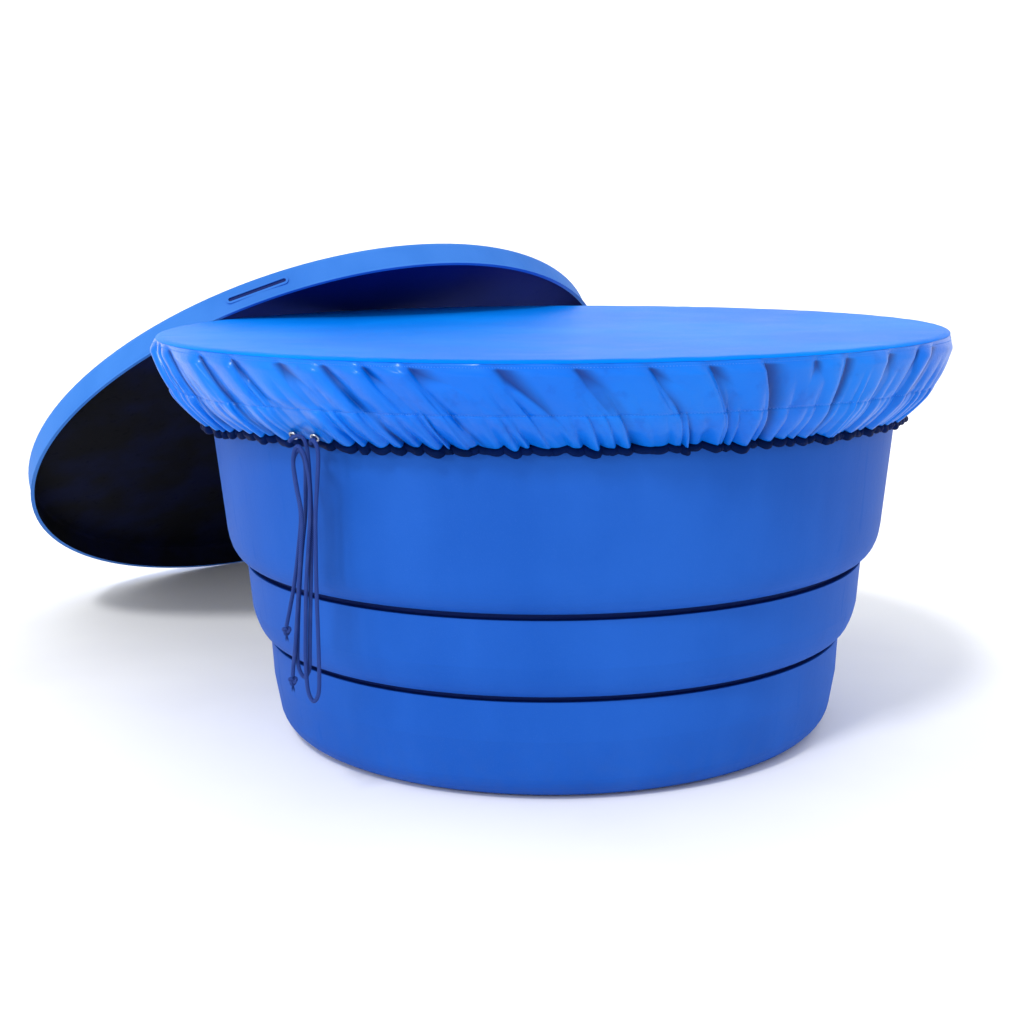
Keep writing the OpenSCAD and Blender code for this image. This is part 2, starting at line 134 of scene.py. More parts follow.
def tube(name, path, radius, sides, around):
    # a circle carried along the path: its plane is square to the path and turns as little as `around` lets it
    path = np.asarray(path, float)
    forward = unitRows(np.gradient(path, axis=0))
    across = unitRows(np.cross(forward, around))
    other = np.cross(across, forward)
    angle = 2 * np.pi * np.arange(sides) / sides
    ring = across[:, None] * np.cos(angle)[None, :, None] + other[:, None] * np.sin(angle)[None, :, None]
    size = np.broadcast_to(np.asarray(radius, float), (len(path),))
    points = (path[:, None] + ring * size[:, None, None]).reshape(-1, 3)
    quads = gridQuads(len(path), sides)
    ends = np.vstack([path[0], path[-1]])
    first, last = len(points), len(points) + 1
    k = np.arange(sides)
    nextK = (k + 1) % sides
    tip = (len(path) - 1) * sides
    caps = np.vstack([np.stack([k * 0 + first, nextK, k, k * 0 - 1], -1),
                      np.stack([k * 0 + last, tip + k, tip + nextK, k * 0 - 1], -1)])
    piece = makeMesh(name, np.vstack([points, ends]), np.vstack([quads, caps]))
    run = np.concatenate([[0], np.cumsum(np.linalg.norm(np.diff(path, axis=0), axis=1))])
    uv = np.stack([np.tile(k / sides, len(path)), np.repeat(run, sides)], -1)
    setUV(piece, np.vstack([uv, [[0.5, 0], [0.5, run[-1]]]]))
    return piece, run[-1]


# sizes that every soft piece shares

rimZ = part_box("tank_shell")[1].z
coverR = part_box("cover_top_panel")[1].x + 0.006
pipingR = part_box("cover_rim_piping")[1].x
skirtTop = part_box("cover_skirt")[1].z
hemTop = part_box("cover_skirt")[0].z
hemR = 0.675          # the radius that the skirt is drawn in to
eyeletZ = 0.652


def skirtRadius(z):
    # falls from the rim's radius to the hem's with the power 1.8 of the drop, as the solid skirt does
    drop = np.clip((skirtTop - z) / (skirtTop - hemTop + 0.008), 0, 1.2)
    return hemR + (coverR - hemR) * (1 - drop ** 1.8)


# cord tails

cord = {"diameter": 0.007, "sides": 12, "perPoint": 12, "azimuth": -124}

# [along the hem, out from the eyelet's radius, height], in metres
rightTail = [
    (0, .001, .651), (0, .007, .645), (.003, .016, .643), (.011, .023, .649), (.020, .026, .648),
    (.026, .026, .636), (.026, .025, .615), (.021, .024, .575), (.015, .024, .520), (.013, .024, .460),
    (.012, .024, .400), (.012, .024, .340), (.012, .024, .280), (.011, .024, .235), (.007, .024, .213),
    (-.003, .024, .202), (-.013, .024, .213), (-.017, .024, .235), (-.018, .024, .280), (-.015, .024, .340),
    (-.011, .024, .400), (-.004, .024, .460), (.004, .025, .520), (.007, .027, .575), (.006, .031, .608),
    (.002, .034, .629), (-.008, .035, .639), (-.018, .034, .629), (-.022, .033, .608), (-.017, .032, .570),
    (-.008, .032, .520), (-.014, .031, .460), (-.023, .029, .400), (-.033, .026, .340), (-.042, .023, .290),
    (-.049, .022, .255), (-.052, .021, .238),
]
leftTail = [
    (-.049, .001, .651), (-.049, .007, .645), (-.045, .015, .643), (-.036, .019, .648), (-.025, .019, .653),
    (-.014, .017, .651), (-.008, .016, .640), (-.005, .015, .618), (-.003, .015, .575), (-.002, .015, .520),
    (-.005, .015, .460), (-.009, .015, .400), (-.013, .015, .340), (-.016, .015, .290), (-.017, .015, .266),
    (-.021, .015, .248), (-.031, .015, .238), (-.041, .015, .248), (-.045, .015, .266), (-.044, .015, .290),
    (-.040, .015, .340), (-.034, .015, .400), (-.026, .015, .460), (-.016, .015, .520), (-.013, .015, .570),
    (-.013, .014, .602), (-.017, .014, .619), (-.027, .013, .628), (-.037, .013, .619), (-.041, .013, .602),
    (-.037, .013, .570), (-.028, .013, .520), (-.036, .013, .460), (-.048, .013, .400), (-.060, .013, .355),
    (-.070, .013, .322),
]


def tailPoints(points):
    # turns the flat list to the eyelet's direction on the skirt
    p = np.asarray(points, float)
    a = math.radians(cord["azimuth"])
    r = float(skirtRadius(eyeletZ)) + p[:, 1]
    x = r * math.cos(a) - p[:, 0] * math.sin(a)
    y = r * math.sin(a) + p[:, 0] * math.cos(a)
    return np.stack([x, y, p[:, 2]], -1)


def makeTail(name, points):
    path = throughPoints(tailPoints(points), cord["perPoint"])
    a = math.radians(cord["azimuth"])
    forward = unitRows(np.gradient(path, axis=0))
    out = np.array([math.cos(a), math.sin(a), 0.0])
    # where the cord runs straight outwards, its rings take their turn from the vertical instead
    upright = smoothStep(0.75, 0.98, np.abs(forward @ out)[:, None])
    around = unitRows(out * (1 - upright) + np.array([0, 0, 1.0]) * upright)
    piece, length = tube(name, path, cord["diameter"] / 2, cord["sides"], around)
    return piece, path, length


def makeKnot(name, end):
    # an overhand knot: the centre line of a trefoil made small,
    # (sin t + 2 sin 2t, -1.3 sin 3t, cos t - 2 cos 2t)
    t = np.linspace(0, 2 * np.pi, 73)
    size = cord["diameter"] * 0.30
    x, z = np.sin(t) + 2 * np.sin(2 * t), np.cos(t) - 2 * np.cos(2 * t)
    loop = np.stack([x, -1.3 * np.sin(3 * t), z], -1) * size
    centre = np.asarray(end) - np.array([0, 0, cord["diameter"] * 1.2])
    forward = unitRows(np.gradient(loop, axis=0))
    around = unitRows(np.cross(forward, unitRows(loop + 1e-6)))
    piece, _ = tube(name, loop + centre, cord["diameter"] * 0.42, 10, around)
    return piece


def makeFray(name, end):
    # loose strands under the knot: each drops straight and spreads outwards with the square of the drop
    rng = np.random.default_rng(7)
    strands = 14
    turn = 2 * np.pi * (np.arange(strands) + rng.uniform(-0.3, 0.3, strands)) / strands
    lengths = rng.uniform(0.008, 0.015, strands)
    down = np.linspace(0, 1, 7)
    start = np.asarray(end) - np.array([0, 0, cord["diameter"] * 1.9])
    # one strand is seven rings of five points, closed at both ends
    ends = np.array([[0, 1, 2, 3], [0, 3, 4, -1], [30, 33, 32, 31], [30, 34, 33, -1]])
    strand = np.vstack([gridQuads(7, 5, flip=True), ends])
    angle = 2 * np.pi * np.arange(5) / 5
    ring = np.stack([np.cos(angle), np.sin(angle), 0 * angle], -1) * 0.00035
    parts, faces = [], []
    for k in range(strands):
        spread = 0.0008 + 0.0022 * down ** 2
        line = np.stack([np.cos(turn[k]) * spread, np.sin(turn[k]) * spread, -lengths[k] * down], -1) + start
        parts.append((line[:, None] + ring[None]).reshape(-1, 3))
        faces.append(np.where(strand >= 0, strand + 35 * k, -1))
    return makeMesh(name, np.vstack(parts), np.vstack(faces))


rightCord, rightPath, rightLength = makeTail("rightCordTail", rightTail)
leftCord, leftPath, leftLength = makeTail("leftCordTail", leftTail)
rightKnot = makeKnot("rightCordKnot", rightPath[-1])
leftKnot = makeKnot("leftCordKnot", leftPath[-1])
rightFray = makeFray("rightCordFray", rightPath[-1])
leftFray = makeFray("leftCordFray", leftPath[-1])
for piece in (rightCord, leftCord, rightKnot, leftKnot, rightFray, leftFray):
    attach(piece, "cover")
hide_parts("right_cord_tail")
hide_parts("left_cord_tail")
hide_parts("cord_end_knots")
print("cord tails made:", round(rightLength, 3), round(leftLength, 3), "m")


# material expressions

class Wire:
    # a socket in a material; arithmetic on it adds Math nodes
    def __init__(self, material, socket):
        self.material = material
        self.socket = socket

    def math(self, operation, *values, clamp=False):
        settings = {"operation": operation, "use_clamp": clamp}
        return self.material.node("ShaderNodeMath", settings, list(values))

    def __add__(self, other): return self.math("ADD", self, other)
    def __radd__(self, other): return self.math("ADD", other, self)
    def __sub__(self, other): return self.math("SUBTRACT", self, other)
    def __rsub__(self, other): return self.math("SUBTRACT", other, self)
    def __mul__(self, other): return self.math("MULTIPLY", self, other)
    def __rmul__(self, other): return self.math("MULTIPLY", other, self)
    def __truediv__(self, other): return self.math("DIVIDE", self, other)
    def __gt__(self, other): return self.math("GREATER_THAN", self, other)
    def __lt__(self, other): return self.math("LESS_THAN", self, other)
    def sin(self): return self.math("SINE", self)
    def abs(self): return self.math("ABSOLUTE", self)
    def root(self): return self.math("SQRT", self)
    def clamp(self): return self.math("ADD", self, 0, clamp=True)
    def most(self, other): return self.math("MAXIMUM", self, other)

    def ramp(self, low, high):
        # 0 at low, 1 at high, smooth between
        return self.material.node("ShaderNodeMapRange", {"interpolation_type": "SMOOTHSTEP"},
                                  {"Value": self, "From Min": low, "From Max": high})


class Finish:
    # one material: its nodes come from node(), and surface() sets the shader
    def __init__(self, name):
        self.data = bpy.data.materials.new(name)
        self.data.use_nodes = True
        self.tree = self.data.node_tree
        self.shader = self.tree.nodes["Principled BSDF"]
        self.place = self.node("ShaderNodeTexCoord", {}, {}, "Object")
        self.facing = self.node("ShaderNodeTexCoord", {}, {}, "Normal")
        self.uv = self.node("ShaderNodeTexCoord", {}, {}, "UV")

    def node(self, kind, settings, inputs, output=0):
        made = self.tree.nodes.new(kind)
        for key, value in settings.items():
            if key == "stops":
                self.setStops(made.color_ramp, value)
            else:
                setattr(made, key, value)
        pairs = enumerate(inputs) if isinstance(inputs, list) else inputs.items()
        for key, value in pairs:
            self.plug(made.inputs[key], value)
        return Wire(self, made.outputs[output])

    def plug(self, socket, value):
        if isinstance(value, Wire):
            self.tree.links.new(value.socket, socket)
        elif value is not None:
            socket.default_value = value

    def setStops(self, ramp, stops):
        while len(ramp.elements) < len(stops):
            ramp.elements.new(0.5)
        for element, (at, colour) in zip(ramp.elements, stops):
            element.position = at
            element.color = colour

    def mix(self, factor, a, b, blend="MIX"):
        made = self.tree.nodes.new("ShaderNodeMix")
        made.data_type = "RGBA"
        made.blend_type = blend
        for socket, value in ((made.inputs[0], factor), (made.inputs[6], a), (made.inputs[7], b)):
            self.plug(socket, value if isinstance(value, (Wire, float)) else (*value[:3], 1))
        return Wire(self, made.outputs[2])

    def split(self, vector):
        made = self.tree.nodes.new("ShaderNodeSeparateXYZ")
        self.plug(made.inputs[0], vector)
        return [Wire(self, made.outputs[k]) for k in range(3)]

    def noise(self, scale, detail=3, roughness=0.5, stretch=None):
        vector = self.place
        if stretch:
            vector = self.node("ShaderNodeMapping", {}, {"Vector": vector, "Scale": stretch})
        return self.node("ShaderNodeTexNoise", {},
                         {"Vector": vector, "Scale": scale, "Detail": detail, "Roughness": roughness})

    def vector(self, operation, first, second, output="Value"):
        return self.node("ShaderNodeVectorMath", {"operation": operation}, {0: first, 1: second}, output)

    def bump(self, height, distance, strength, under=None):
        inputs = {"Height": height, "Distance": distance, "Strength": strength}
        if under:
            inputs["Normal"] = under
        return self.node("ShaderNodeBump", {}, inputs)

    def surface(self, **values):
        for key, value in values.items():
            name = " ".join(w.capitalize() if w != "IOR" else w for w in key.split("_"))
            self.plug(self.shader.inputs[name], value)
        return self.data


def paint(colour):
    # a colour as it is seen on a screen, 0 to 255, as the linear values that shaders take
    c = np.asarray(colour, float) / 255
    return tuple(np.where(c <= 0.04045, c / 12.92, ((c + 0.055) / 1.055) ** 2.4)) + (1.0,)


def dress(material, *pieces):
    for piece in pieces:
        piece.data.materials.clear()
        piece.data.materials.append(material)


# plastic of the tank and the lid

tankPlastic = {
    "outside": paint((19, 80, 172)),
    "outsidePale": paint((27, 88, 182)),
    "inside": paint((5, 6, 16)),
    # painted shade for the grooves and the hand slots
    "groove": paint((2, 30, 96)),
    "dust": paint((70, 92, 130)),
    "roughness": 0.56,
    "orangePeel": 0.00022,
}
lidPlastic = dict(tankPlastic, outside=paint((46, 112, 196)), outsidePale=paint((60, 124, 208)),
                  inside=paint((3, 4, 12)))


def mouldedSurface(f, tints, insideMask, grooveMask, dustMask):
    # two-layer moulding: blue outside and black inside, with a fine orange-peel skin,
    # long faint flow marks and dust near the ground; recesses get painted shade, and the upper inside
    # gets a painted reflection of the blue cover
    cloudy = f.noise(2.2, 4)
    flow = f.noise(9.0, 3, stretch=(1.0, 1.0, 0.25))
    colour = f.mix((cloudy * 0.7 + flow * 0.3).ramp(0.38, 0.66), tints["outside"], tints["outsidePale"])
    speckle = f.noise(900, 2).ramp(0.60, 0.72)
    colour = f.mix(speckle * 0.08, colour, paint((110, 155, 225)))
    # painted shade in recesses: the tank's grooves under their overhangs and the lid's hand slots
    colour = f.mix(grooveMask, colour, tints["groove"])
    colour = f.mix(dustMask * f.noise(38, 5).ramp(0.30, 0.80) * 0.10, colour, tints["dust"])
    x, y, z = f.split(f.place)
    # painted reflection: the inside turns navy towards the top, as if lit by the blue cover, with slight random
    # mottling
    mottleAndBlueReflection = f.noise(7, 4).ramp(0.35, 0.7) * 0.08 + z.ramp(0.62, 0.88) * 0.75
    inside = f.mix(mottleAndBlueReflection, tints["inside"], paint((6, 40, 132)))
    colour = f.mix(insideMask, colour, inside)
    scratches = f.noise(60, 4, stretch=(1.0, 1.0, 0.08)).ramp(0.62, 0.70)
    rough = tints["roughness"] + (cloudy - 0.5) * 0.18 + scratches * 0.08
    rough = rough + dustMask * 0.10 + insideMask * 0.22
    peel = f.bump(f.noise(260, 3) + f.noise(70, 2) * 1.5, tints["orangePeel"], 0.8)
    shallow = f.bump(f.noise(5.0, 2), 0.003, 0.4, under=peel)
    return f.surface(base_color=colour, roughness=rough.clamp(), normal=shallow, specular_IOR_level=0.10)


steps = {"low": 0.189, "lowRadius": 0.5735, "high": 0.343, "highRadius": 0.6135}


def makeTankPlastic():
    # the inside is where the wall faces the axis, with the floor and the step; the two grooves get painted shade
    f = Finish("tankPlastic")
    x, y, z = f.split(f.place)
    nx, ny, nz = f.split(f.facing)
    r = (x * x + y * y).root()
    outward = (nx * x + ny * y) / (r + 0.001)
    floorInside = (nz > 0.5) * (z < 0.16)
    stepInside = (nz > 0.5) * (z > steps["low"] + 0.012) * (z < steps["high"] - 0.002)
    inside = (outward < -0.35).most(floorInside).most(stepInside)
    # the grooves' painted shade: a band just under each overhang
    low = (r < steps["lowRadius"]) * (z > steps["low"] - 0.001) * (z < steps["low"] + 0.0115)
    high = (r < steps["highRadius"]) * (z > steps["high"] - 0.001) * (z < steps["high"] + 0.0135)
    dust = 1 - z.ramp(0.0, 0.16)
    return mouldedSurface(f, tankPlastic, inside, low.most(high), dust)


lidAxis = Vector(next(j for j in frame["joints"] if j["name"] == "lid_lift")["axis"])
lidParts = {
    "innerWall": 0.7512,      # just past the skirt's inner wall
    "slotTurn": 146.5,        # degrees from the lid's lowest point
    "slotFloor": 0.7519,
    "slotHalf": 0.066,
    "slotBottom": 0.025,
    "slotTop": 0.041,
    "dustShare": 0.10,        # share of the lid's height that dust reaches
}


def makeLidPlastic():
    # the inside is where the surface looks down the lid's own axis, within the skirt's inner wall
    f = Finish("lidPlastic")
    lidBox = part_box("lid_shell")
    axis = tuple(lidAxis)
    dot = f.vector("DOT_PRODUCT", f.facing, axis)
    fromCentre = f.vector("SUBTRACT", f.place, tuple(lidCentre()), "Vector")
    height = f.vector("DOT_PRODUCT", fromCentre, axis)
    reach = f.vector("LENGTH", fromCentre, None)
    radius = (reach * reach - height * height).root()
    inside = (dot < 0.25) * (radius < lidParts["innerWall"])
    # the hand slots' flat floors, which get painted shade: within the slot's length of the line through both slots
    low = Vector((lidAxis.x * lidAxis.z, lidAxis.y * lidAxis.z, lidAxis.z ** 2 - 1)).normalized()
    turn = math.radians(lidParts["slotTurn"])
    toSlot = low * math.cos(turn) + lidAxis.cross(low) * math.sin(turn)
    along = f.vector("DOT_PRODUCT", fromCentre, tuple(toSlot))
    across = (radius * radius - along * along).root()
    onFloor = (along * along < lidParts["slotFloor"] ** 2) * (radius > lidParts["innerWall"])
    onHeight = (height > lidParts["slotBottom"]) * (height < lidParts["slotTop"])
    slot = onFloor * (across < lidParts["slotHalf"]) * onHeight
    x, y, z = f.split(f.place)
    dust = 1 - z.ramp(0.0, lidParts["dustShare"] * (lidBox[1].z - lidBox[0].z))
    # the slot mask goes where the grooves' painted shade goes
    return mouldedSurface(f, lidPlastic, inside, slot, dust)


def lidCentre():
    # the middle of the lid's rim plane: halfway across the box of its lip, the points lowest along the axis
    mesh = nodes["lid_shell"].data
    points = np.zeros(len(mesh.vertices) * 3)
    mesh.vertices.foreach_get("co", points)
    points = points.reshape(-1, 3)
    along = points @ np.array(lidAxis)
    lip = points[along < along.min() + 0.0005]
    low, high = lip.min(0), lip.max(0)
    return Vector((low + high) / 2)


dress(makeTankPlastic(), nodes["tank_shell"])
dress(makeLidPlastic(), nodes["lid_shell"])
print("tank and lid dressed")


# the cover's cloth

cover = {
    "columns": 1800,
    "edgeRound": 0.008,       # how far the panel rolls over the rim before its seam
    "seamDrop": 0.001,        # the seam's depth under the solid skirt's top
    "coarse": 46,             # wide folds that start at the seam
    "second": 37,             # a second set that crosses them
    "middle": 104,
    "fine": 132,              # small gathers along the drawcord
    "lean": 0.105,            # how far a fold runs round the tank on its way down
    "skew": 0.8,              # how far a fold's crest falls over to the side
    "stitchAt": 0.60,         # share of the skirt's drop where the hem is sewn
    "hemRise": 0.017,         # how much higher the hem hangs at the front
    "around": 4.83,           # the skirt's length along the rim's seam
    "eyeletsAt": -126,        # degrees, midway between the two eyelets
}


def foldSet(count, tallest, seed):
    # folds round the tank, uneven in width and height, each with its crest nearer to one side
    r = np.random.default_rng(seed)
    start = np.sort((np.arange(count) + r.uniform(-0.42, 0.42, count)) / count)
    tall = r.uniform(0.45, 1.0, count) * tallest
    return start - start[0], tall, r.uniform(0.50, 0.80, count)


def foldShape(where, folds):
    # each fold is a quarter sine up to its crest and a quarter cosine down: round on top, sharp in the valley
    start, tall, crest = folds
    w = np.mod(where, 1.0)
    k = np.searchsorted(start, w, side="right") - 1
    ends = np.append(start[1:], 1.0)
    u = (w - start[k]) / (ends[k] - start[k])
    c = crest[k]
    rise = np.sin(np.pi / 2 * np.clip(u / c, 0, 1))
    fall = np.cos(np.pi / 2 * np.clip((u - c) / (1 - c), 0, 1))
    return np.where(u < c, rise, fall) * tall[k]


def wander(turn, seed, waves=(3, 5, 8, 13)):
    # a slow periodic wander: a sum of a few sines with random phases
    r = np.random.default_rng(seed)
    total = np.zeros_like(turn)
    for n in waves:
        total = total + np.sin(2 * np.pi * (n * turn + r.uniform())) / n * 3
    return total / len(waves)


def skirtSurface(turn, t):
    # turn: 0 to 1 round the tank; t: 0 at the rim's seam, 1 at the hem's edge.
    # The valleys follow a curve from the rim to the hem. Two sets of wide folds that lean by different
    # amounts stand on it, whichever is higher, with smaller gathers along the hem.
    # Gives the radius, the height, the turn after the crests fall over, and how far the fold stands out.
    topZ = skirtTop - cover["seamDrop"]
    edgeZ = hemTop + cover["hemRise"] * frontShare(turn)
    z = topZ + (edgeZ - topZ) * t
    side = leanSide(turn)
    lean = cover["lean"] / cover["around"] * side * (1 + 0.35 * wander(turn, 3))
    coarse = foldShape(turn - lean * t, coarseFolds)
    second = foldShape(turn - 1.45 * lean * t + 0.31, secondFolds)
    middle = foldShape(turn - 0.8 * lean * t + 0.13, middleFolds)
    fine = foldShape(turn - 0.7 * lean * t + 0.002 * wander(turn, 9), fineFolds)
    wide = np.maximum(coarse, second * smoothStep(0.05, 0.35, t))
    seamFade = smoothStep(-0.05, 0.16, t) * smoothStep(0.0, 0.015, t)
    wideWeight = seamFade * (1 - 0.55 * smoothStep(0.5, 1.0, t))
    middleWeight = smoothStep(0.15, 0.50, t)
    fineWeight = smoothStep(0.48, 0.72, t)
    calm = 1 - 0.8 * eyeletWindow(turn, t)
    push = (wide * wideWeight + middle * middleWeight + fine * fineWeight) * calm
    valley = hemR + (coverR + 0.002 - hemR) * (1 - (0.95 * t) ** 1.8) - 0.005 * np.sin(np.pi * t ** 0.7)
    valley = np.maximum(valley, tankRadius(z) + 0.0035)
    stitch = np.exp(-((t - stitchLine(turn)) / 0.012) ** 2)
    hemBelly = 0.004 * np.sin(np.pi * np.clip((t - cover["stitchAt"]) / (1 - cover["stitchAt"]), 0, 1))
    radius = valley + push + hemBelly - 0.0015 * stitch
    drop = (1.3 * fine + 0.4 * middle - 0.006) * smoothStep(0.74, 1.0, t) * calm
    return radius, z - drop, turn + cover["skew"] * side * push / cover["around"], wide + 0.6 * fine * fineWeight


def tankRadius(z):
    # the outside of the tank behind the skirt: the wall, the flare below the rim and the rim's collar
    return np.interp(z, [0.585, 0.640, 0.675, 0.702, 0.736, 0.746, 0.800],
                     [0.670, 0.676, 0.684, 0.706, 0.738, 0.750, 0.750])


def frontShare(turn):
    # 1 at the front of the tank, falling as a cosine to 0 at the sides and behind
    return np.clip(np.cos(2 * np.pi * (turn + 0.25)), 0, 1)


def stitchLine(turn):
    return cover["stitchAt"] + 0.012 * wander(turn, 21, (7, 11, 19))


def leanSide(turn):
    # folds lean one way from the left end to past the front, and the other way at the right end
    return np.clip(-2.5 * np.sin(2 * np.pi * turn + math.radians(52)), -1, 1)


def eyeletWindow(turn, t):
    # 1 between the two eyelets, falling as exp(-x^4) to 0 a hand's width away, in the lower part of the skirt
    az = (360 * turn - cover["eyeletsAt"]) % 360
    az = np.minimum(az, 360 - az)
    return np.exp(-(az / 3.2) ** 4) * smoothStep(0.45, 0.7, t)


coarseFolds = foldSet(cover["coarse"], 0.019, 31)
secondFolds = foldSet(cover["second"], 0.012, 37)
middleFolds = foldSet(cover["middle"], 0.006, 32)
fineFolds = foldSet(cover["fine"], 0.008, 33)


def ringPoints(radius, z, turn):
    a = 2 * np.pi * turn
    return np.stack([radius * np.cos(a), radius * np.sin(a), z], -1)


def makeSkirt():
    rows = 96
    t, turn = np.meshgrid(np.linspace(0, 1, rows), np.arange(cover["columns"]) / cover["columns"], indexing="ij")
    radius, z, turn, standing = skirtSurface(turn, t)
    # the hem turns under: a half circle inwards, then a short return up behind the edge
    under = np.linspace(0, 1, 7)[1:, None]
    edgeR, edgeZ = radius[-1:], z[-1:]
    bend = 0.0022
    underR = edgeR - bend * (1 - np.cos(np.pi * under)) - 0.0035 * under
    underZ = edgeZ - bend * np.sin(np.pi * under) + 0.010 * under ** 2
    radius = np.vstack([radius, underR])
    z = np.vstack([z, underZ])
    flat = np.repeat(np.arange(cover["columns"])[None] / cover["columns"], len(radius), 0)
    turn = np.vstack([turn, np.repeat(turn[-1:], len(under), 0)])
    points = ringPoints(radius, z, turn).reshape(-1, 3)
    # the UVs run in metres along the flat strip, so they keep the even turn
    piece = makeMesh("coverSkirt", points, gridQuads(len(radius), cover["columns"]))
    run = np.concatenate([[0], np.cumsum(np.hypot(np.diff(radius.mean(1)), np.diff(z.mean(1))))])
    setUV(piece, np.stack([flat.ravel() * cover["around"], np.repeat(run, cover["columns"])], -1))
    # the crest value sets the painted valley shade; near the seam it is held at 1, so no shade is painted there
    standing = standing / 0.013 + 1.5 * (1 - smoothStep(0.0, 0.08, t))
    markCrests(piece, np.clip(np.vstack([standing, np.repeat(standing[-1:], len(under), 0)]), 0, 1).ravel())
    return piece


def makeTopPanel():
    # flat over the tank with a slight sag and soft tension ripples, then a quarter ellipse over the rim
    columns = 900
    flatR = coverR - cover["edgeRound"]
    seamR = coverR + 0.004
    inner = np.concatenate([[0.0], np.linspace(0.02, flatR, 70)])
    angle = np.linspace(0, np.pi / 2, 12)[1:]
    topZ = rimZ + 0.0022
    seamZ = skirtTop - cover["seamDrop"]
    r1 = np.concatenate([inner, flatR + (seamR - flatR) * np.sin(angle)])
    z1 = np.concatenate([np.full(len(inner), topZ), seamZ + (topZ - seamZ) * np.cos(angle)])
    rr, tt = np.meshgrid(r1, np.arange(columns) / columns, indexing="ij")
    x, y = rr * np.cos(2 * np.pi * tt), rr * np.sin(2 * np.pi * tt)
    middle = 1 - smoothStep(0.60, 0.745, rr)
    sag = -0.005 * (1 - (rr / 0.75) ** 2).clip(0)
    swell = 0.0010 * (np.sin(7.1 * x + 1.3) * np.sin(5.3 * y + 0.4) + 0.6 * np.sin(11 * x - 9 * y))
    pull = 0.04 * foldShape(tt, coarseFolds)
    edge = smoothStep(flatR - 0.06, flatR, rr) * (1 - smoothStep(flatR, seamR, rr))
    zz = np.repeat(z1[:, None], columns, 1) + (sag + swell) * middle + pull * edge
    points = ringPoints(rr, zz, tt)
    centre = points[0].mean(0, keepdims=True)
    ring = points[1:].reshape(-1, 3)
    rows = len(r1) - 1
    quads = gridQuads(rows, columns)
    k = np.arange(columns)
    fan = np.stack([k * 0 + rows * columns, k, (k + 1) % columns, k * 0 - 1], -1)
    piece = makeMesh("coverTopPanel", np.vstack([ring, centre]), np.vstack([quads[:, ::-1], fan]))
    uv = np.vstack([np.stack([ring[:, 0], ring[:, 1]], -1), [[0, 0]]])
    setUV(piece, uv)
    markCrests(piece, 1.0)
    return piece


def markCrests(piece, value):
    # how far each point stands out of the valley, 0 to 1, for the cloth's painted valley shade
    mark = piece.data.attributes.new("crest", "FLOAT", "POINT")
    mark.data.foreach_set("value", np.broadcast_to(value, len(piece.data.vertices)).astype(np.float32))


def thicken(piece, thickness, offset):
    solid = piece.modifiers.new("thickness", "SOLIDIFY")
    solid.thickness = thickness
    solid.offset = offset


def makeSeam():
    # the rim's seam: a small welt that follows the top of the folds
    turn = np.linspace(0, 1, 1441)
    radius, z, turn, _ = skirtSurface(turn, np.zeros_like(turn))
    path = ringPoints(radius + 0.0003, z + 0.0005, turn)
    piece, _ = tube("coverSeamWelt", path, 0.0016, 8, np.tile([0, 0, 1.0], (len(path), 1)))
    markCrests(piece, 1.0)
    return piece


def stitches(name, placeAt, count, size):
    # a row of short thread stitches: each is a stretched octahedron of eight faces laid along the row
    middle = (np.arange(count) + 0.5) / count
    half = 0.5 * size / cover["around"]
    a = ringPoints(*placeAt(middle - half))
    b = ringPoints(*placeAt(middle + half))
    up = np.array([0, 0, 1.0])
    along = unitRows(b - a)
    side = unitRows(np.cross(along, np.tile(up, (count, 1))))
    lift = np.cross(side, along)
    m = (a + b) / 2 + side * 0.0006
    thick = 0.0007
    ring = [m + side * thick, m + lift * thick, m - side * thick, m - lift * thick]
    points = np.stack([a, b, *ring], 1).reshape(-1, 3)
    base = (np.arange(count) * 6)[:, None, None]
    tri = np.array([[0, 3, 2, -1], [0, 4, 3, -1], [0, 5, 4, -1], [0, 2, 5, -1],
                    [1, 2, 3, -1], [1, 3, 4, -1], [1, 4, 5, -1], [1, 5, 2, -1]])[None]
    faces = np.where(tri >= 0, tri + base, -1).reshape(-1, 4)
    return makeMesh(name, points, faces)


def hemStitchPlace(turn):
    radius, z, turn, _ = skirtSurface(turn, stitchLine(turn))
    return radius + 0.0004, z, turn


def rimStitchPlace(turn):
    radius, z, turn, _ = skirtSurface(turn, np.full_like(turn, 0.045))
    return radius + 0.0004, z, turn


def makeHemChannelShadow():
    # the drawcord's channel: a puckered tube behind and just under the hem's edge, coloured near black as a
    # painted shadow band under the hem
    turn = np.linspace(0, 1, 1801)
    pucker = foldShape(turn + 0.11, fineFolds)
    radius, z, turn, _ = skirtSurface(turn, np.ones_like(turn))
    path = ringPoints(radius - 0.0060, z - 0.0070 - 0.30 * pucker, turn)
    size = 0.0064 + 0.12 * pucker
    piece, _ = tube("hemDrawcordChannelShadow", path, size, 12, np.tile([0, 0, 1.0], (len(path), 1)))
    markCrests(piece, 1.0)
    return piece


skirt = makeSkirt()
topPanel = makeTopPanel()
seamWelt = makeSeam()
hemChannelShadowBand = makeHemChannelShadow()
hemStitches = stitches("hemStitches", hemStitchPlace, 1000, 0.0032)
rimStitches = stitches("rimStitches", rimStitchPlace, 1000, 0.0032)
thicken(skirt, 0.0006, -1)
thicken(topPanel, 0.0006, -1)
for piece in (skirt, topPanel, seamWelt, hemChannelShadowBand, hemStitches, rimStitches):
    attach(piece, "cover")
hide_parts("cover_top_panel")
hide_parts("cover_rim_piping")
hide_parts("cover_skirt")
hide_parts("cover_hem_tunnel", "hem_drawcord")
print("cover made")


# eyelets

eyelet = {"inner": 0.0048, "outer": 0.0092, "height": 0.0020, "stand": 0.0028, "sides": 48}


